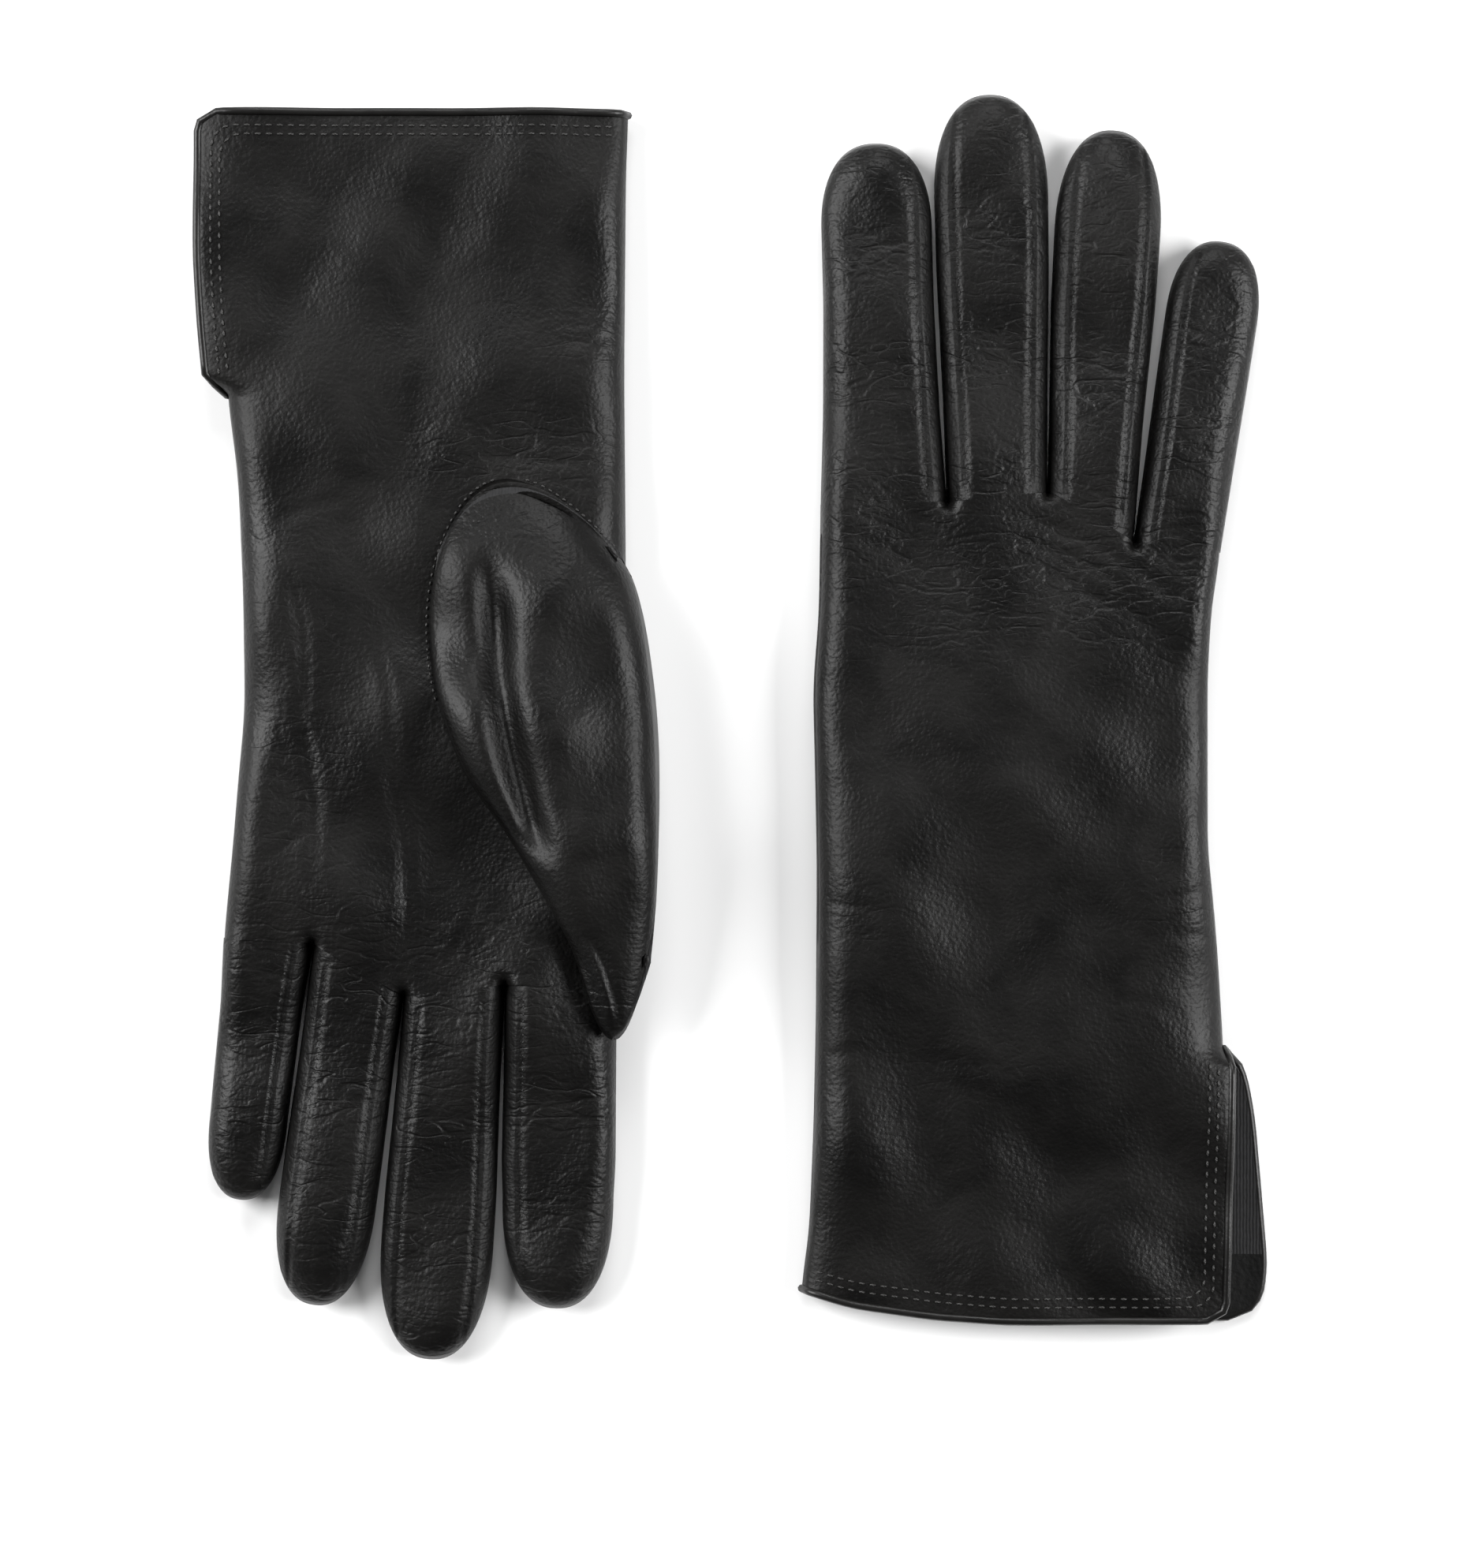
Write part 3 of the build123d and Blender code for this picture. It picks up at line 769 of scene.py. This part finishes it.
def knit():
    """Fine warp knit: rows of small loops with a soft nap."""
    material = bpy.data.materials.new("lining_knit")
    material.use_nodes = True
    nodes, links = material.node_tree.nodes, material.node_tree.links
    shader = nodes["Principled BSDF"]
    place = nodes.new("ShaderNodeTexCoord")
    loops = nodes.new("ShaderNodeTexWave")
    loops.inputs["Scale"].default_value = 420
    loops.inputs["Distortion"].default_value = 1.5
    loops.inputs["Detail"].default_value = 2
    nap = nodes.new("ShaderNodeTexNoise")
    nap.inputs["Scale"].default_value = 900
    links.new(place.outputs["Object"], loops.inputs["Vector"])
    links.new(place.outputs["Object"], nap.inputs["Vector"])
    yarn_colour = add_ramp(nodes, links, nap.outputs["Fac"], 0.3, 0.7, (0.003, 0.003, 0.0035),
                           (0.010, 0.010, 0.011))
    links.new(yarn_colour, shader.inputs["Base Color"])
    relief = nodes.new("ShaderNodeBump")
    relief.inputs["Distance"].default_value = 0.12 * mm
    links.new(loops.outputs["Fac"], relief.inputs["Height"])
    links.new(relief.outputs["Normal"], shader.inputs["Normal"])
    shader.inputs["Roughness"].default_value = 0.92
    shader.inputs["Sheen Weight"].default_value = 0.25
    return material


def inner_layer(name, bm, material):
    """A layer that lies against the inside of a cut of skin."""
    normal = bm.verts.layers.float_vector["skin_normal"]
    for vert in bm.verts:
        vert.co -= vert[normal] * lining_away * mm
    piece = leather_piece(name, bm, lining_wall * mm)
    piece.data.materials.append(material)
    return piece


lining_knit = knit()
facing_leather = dressed_leather("facing_leather", (0.0028, 0.0028, 0.0028), (0.006, 0.006, 0.0058),
                                 0.7, 0.56, grain_size=0.8, coat=0.0)

for glove in (left, right):
    inside, names = make_skin(glove, coarser=2)
    for wanted, node, material, slot in (("lining", "hand_lining", lining_knit, "lining_fabric"),
                                         ("facing", "cuff_facing", facing_leather, "facing_leather")):
        layer = cut_out(inside, names, ["hand"])
        drop = []
        for face in layer.faces:
            from_hem = (face.calc_center_median().y - glove.hem_y) / (glove.turn * mm)
            if (from_hem < facing_width) != (wanted == "facing"):
                drop.append(face)
        bmesh.ops.delete(layer, geom=drop, context="FACES")
        piece = inner_layer(f"{wanted}_{glove.name}_hand", layer, material)
        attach(piece, f"{glove.name}_hand")
        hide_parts(f"{glove.name}_{node}")
    for part in glove.fingers:
        mine = [name for name in names if name.startswith(part.name)]
        piece = inner_layer(f"lining_{glove.name}_{part.name}", cut_out(inside, names, mine), lining_knit)
        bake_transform(piece, f"{glove.name}_hand", f"{glove.name}_{part.name}", *part.bend)
        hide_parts(f"{glove.name}_{part.name}_lining")
    piece = inner_layer(f"lining_{glove.name}_thumb", thumb_skin(glove, coarser=2), lining_knit)
    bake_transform(piece, f"{glove.name}_hand", f"{glove.name}_thumb", *swing_line(glove))
    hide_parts(f"{glove.name}_thumb_lining")
    inside.free()

# ------------------------------------------------------------------ binding
# The raw edge of the hem and of the vent is closed with one narrow strip of the
# same leather, rolled over the edge and glossier from the folding.
binding_radius = 0.95


def open_edge(skin):
    """The skin's open edge as one ordered loop of points."""
    rim = [edge for edge in skin.edges if edge.is_boundary]
    used = {rim[0]}
    first, here = rim[0].verts
    loop = [first.co.copy()]
    while here != first:
        loop.append(here.co.copy())
        onward = next(edge for edge in here.link_edges if edge.is_boundary and edge not in used)
        used.add(onward)
        here = onward.other_vert(here)
    return loop


binding_leather = dressed_leather("binding_leather", (0.003, 0.0028, 0.0026), (0.007, 0.0066, 0.0062),
                                  0.4, 0.3, grain_size=1.3, grain_depth=0.04, coat=0.25)

for glove in (left, right):
    loop = open_edge(glove.skin)
    line = bpy.data.curves.new("binding_line", "CURVE")
    line.dimensions = "3D"
    line.bevel_depth = binding_radius * mm
    line.bevel_resolution = 2
    spline = line.splines.new("POLY")
    picked = loop[::2]
    spline.points.add(len(picked) - 1)
    for point, place in zip(spline.points, picked):
        point.co = (place.x, place.y, max(place.z, binding_radius * mm), 1)
    spline.use_cyclic_u = True
    roll_object = bpy.data.objects.new("binding_line", line)
    mesh = bpy.data.meshes.new_from_object(roll_object)
    bpy.data.objects.remove(roll_object)
    mesh.name = f"binding_{glove.name}_cuff"
    mesh.shade_smooth()
    mesh.materials.clear()
    mesh.materials.append(binding_leather)
    piece = bpy.data.objects.new(mesh.name, mesh)
    bpy.context.scene.collection.objects.link(piece)
    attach(piece, f"{glove.name}_hand")
    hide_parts(f"{glove.name}_cuff_binding")

# ---------------------------------------------------------------- stitching
# Waxed black thread: two rows hold the facing along the hem and the vent, a
# close row sets in the thumb, and fine dark stitches run beside each fourchette.
stitch_length, stitch_gap, stitch_half = 1.7, 2.5, 0.3
stitch_rows = (3.2, 5.2)
under_table = -20.0        # a level that is below the gloves
sunk_stitch = -0.12        # a seam draws its stitches into the leather


def waxed_thread(name, dark, light):
    """Twisted thread with a dull wax shine."""
    material = bpy.data.materials.new(name)
    material.use_nodes = True
    nodes, links = material.node_tree.nodes, material.node_tree.links
    shader = nodes["Principled BSDF"]
    place = nodes.new("ShaderNodeTexCoord")
    twist = nodes.new("ShaderNodeTexWave")
    twist.bands_direction = "DIAGONAL"
    twist.inputs["Scale"].default_value = 900
    links.new(place.outputs["Object"], twist.inputs["Vector"])
    links.new(add_ramp(nodes, links, twist.outputs["Fac"], 0.2, 0.8, dark, light),
              shader.inputs["Base Color"])
    relief = nodes.new("ShaderNodeBump")
    relief.inputs["Distance"].default_value = 0.05 * mm
    links.new(twist.outputs["Fac"], relief.inputs["Height"])
    links.new(relief.outputs["Normal"], shader.inputs["Normal"])
    shader.inputs["Roughness"].default_value = 0.5
    return material


def sew(bm, surface, glove, route, length, gap, above=True, lift=0.12):
    """Single stitches along a route of the layout, laid on the surface."""
    route = np.array(route, float)
    steps = np.linalg.norm(np.diff(route, axis=0), axis=1)
    total = np.concatenate([[0], np.cumsum(steps)])
    down = Vector((0, 0, -1 if above else 1))
    start_level = np.array([over_glove if above else under_table])
    for at in np.arange(gap / 2, total[-1], gap):
        ends = []
        for place in (at - length / 2, at + length / 2):
            x, y = (np.interp(place, total, route[:, axis]) for axis in (0, 1))
            source = in_place(glove, np.array([x]), np.array([y]), start_level)[0]
            ends.append(surface.ray_cast(Vector(source), down)[:2])
        if ends[0][0] is None or ends[1][0] is None or (ends[0][0] - ends[1][0]).length > 2 * length * mm:
            continue
        along = (ends[1][0] - ends[0][0]).normalized()
        up = ends[0][1] if ends[0][1].dot(down) < 0 else -ends[0][1]
        side = up.cross(along).normalized()
        up = along.cross(side)
        middle = (ends[0][0] + ends[1][0]) / 2 + up * lift * mm
        middle.z = max(middle.z, stitch_half * mm)
        place = Matrix.Translation(middle) @ Matrix((along, side, up)).transposed().to_4x4() @ \
            Matrix.Diagonal((length / 2 * mm, stitch_half * mm, stitch_half * mm, 1))
        bmesh.ops.create_uvsphere(bm, u_segments=6, v_segments=4, radius=1.0, matrix=place)


def sewn_piece(name, bm, thread, *bodies):
    """Stitches as one piece, riding on a body or turning from one body to the next over a bend."""
    mesh = bpy.data.meshes.new(name)
    bm.to_mesh(mesh)
    bm.free()
    mesh.shade_smooth()
    mesh.materials.append(thread)
    piece = bpy.data.objects.new(name, mesh)
    bpy.context.scene.collection.objects.link(piece)
    if len(bodies) == 1:
        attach(piece, bodies[0])
    else:
        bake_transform(piece, *bodies)
    return piece


def seam_route(part, side):
    """Beside a fourchette's seam, from the finger's root to where its tip starts to round."""
    run = np.linspace(3.0, part.straight + 4.0, 60)
    away = side * (part.half(run) - seam_inset - 0.7)
    return part.middle + np.outer(away, part.across) + np.outer(run, part.along)


def cuff_route(glove, flap, distance):
    """One row: along the hem, round the corner and up beside the vent."""
    side = float(flap(20.0)) - distance
    xs = np.linspace(float(glove.thumb_edge(4.0)) + 3.0, side - 5.0, 60)
    hem_run = [(x, float(glove.hem(x)) + distance) for x in xs]
    corner = [(side - 5 + 5 * math.sin(t), float(glove.hem(side)) + distance + 5 - 5 * math.cos(t))
              for t in np.linspace(0.1, math.pi / 2, 8)]
    rise = [(float(flap(y)) - distance, y) for y in np.linspace(distance + 6, glove.vent - 3, 40)]
    return hem_run + corner + rise


# The hem, vent and thumb stitches are black waxed thread coloured grey, lighter than the thread really is: a
# painted sheen. The seam thread keeps the thread's own black.
cuff_thread = waxed_thread("cuff_thread", (0.008, 0.0076, 0.0072), (0.026, 0.025, 0.024))
seam_thread = waxed_thread("seam_thread", (0.0005, 0.0005, 0.0005), (0.0015, 0.0014, 0.0013))

for glove in (left, right):
    bm = bmesh.new()
    for distance in stitch_rows:
        for flap, above in ((glove.upper_flap, True), (glove.lower_flap, False)):
            sew(bm, glove.surface, glove, cuff_route(glove, flap, distance), stitch_length, stitch_gap, above)
    if not glove.palm_up:
        shown = [(float(glove.lower_flap(y)) - stitch_rows[0], y) for y in np.linspace(6, 46, 30)]
        sew(bm, glove.surface, glove, shown, stitch_length, stitch_gap)
    piece = sewn_piece(f"thread_{glove.name}_cuff", bm, cuff_thread, f"{glove.name}_hand")
    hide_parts(f"{glove.name}_cuff_stitching")

for glove in (left, right):
    for part in glove.fingers:
        bm = bmesh.new()
        for side in fourchette_sides[part.name]:
            for above in (True, False):
                sew(bm, glove.surface, glove, seam_route(part, side), 0.9, 1.6, above,
                    sunk_stitch)
        sewn_piece(f"thread_{glove.name}_{part.name}", bm, seam_thread, f"{glove.name}_hand",
                   f"{glove.name}_{part.name}", *part.bend)

bm = bmesh.new()
leaf = left.thumb
for side in (-1, 1):
    run = np.linspace(leaf.start + 0.3, 136.0, 80)
    share = (run - (leaf.start + leaf.end) / 2) / ((leaf.end - leaf.start) / 2)
    x = leaf.centre(run) + side * (leaf.half(run) * np.sqrt(np.clip(1 - share ** 2, 0, 1)) + 0.5)
    sew(bm, left.surface, left, np.stack([x, run], axis=1), 1.1, 1.9)
sewn_piece("thread_left_thumb", bm, cuff_thread, "left_hand")

# ------------------------------------------------------------------ studio
# A pale table between two large soft lights, with a weaker one beyond it and a
# dim room round them.
floor_bm = bmesh.new()
bmesh.ops.create_grid(floor_bm, x_segments=2, y_segments=2, size=3.0)
floor_mesh = bpy.data.meshes.new("table_top")
floor_bm.to_mesh(floor_mesh)
floor_bm.free()
table_top = bpy.data.objects.new("table_top", floor_mesh)
bpy.context.scene.collection.objects.link(table_top)
table_paint = bpy.data.materials.new("table_paint")
table_paint.use_nodes = True
table_paint.node_tree.nodes["Principled BSDF"].inputs["Base Color"].default_value = (0.9, 0.9, 0.9, 1)
table_paint.node_tree.nodes["Principled BSDF"].inputs["Roughness"].default_value = 0.9
table_top.data.materials.append(table_paint)

for name, place, size, power in (("left_softbox", (-1.45, 0.45, 1.05), 1.1, 53),
                                 ("right_softbox", (1.5, 0.1, 1.05), 1.0, 43),
                                 ("far_softbox", (0.1, 1.5, 1.1), 0.8, 16)):
    lamp = bpy.data.lights.new(name, "AREA")
    lamp.size = size
    lamp.energy = power
    lamp_object = bpy.data.objects.new(name, lamp)
    lamp_object.location = place
    lamp_object.rotation_euler = (-Vector(place)).to_track_quat("-Z", "Y").to_euler()
    bpy.context.scene.collection.objects.link(lamp_object)

world = bpy.data.worlds.new("room")
world.use_nodes = True
world.node_tree.nodes["Background"].inputs["Color"].default_value = (1, 1, 1, 1)
world.node_tree.nodes["Background"].inputs["Strength"].default_value = 0.14
bpy.context.scene.world = world
bpy.context.scene.view_settings.view_transform = "Standard"

camera_data = bpy.data.cameras.new("camera")
camera_data.lens = 100
camera_data.sensor_width = 36
framing_shift = -0.0129    # the pair lies a little above the middle of the view
camera = bpy.data.objects.new("camera", camera_data)
frame_height = 0.3578
glove_level = 0.012
middle = (cad_bounds[0] + cad_bounds[1]) / 2
camera_away = frame_height * camera_data.lens / camera_data.sensor_width
camera.location = (middle.x, middle.y + framing_shift, glove_level + camera_away)
bpy.context.scene.collection.objects.link(camera)
bpy.context.scene.camera = camera
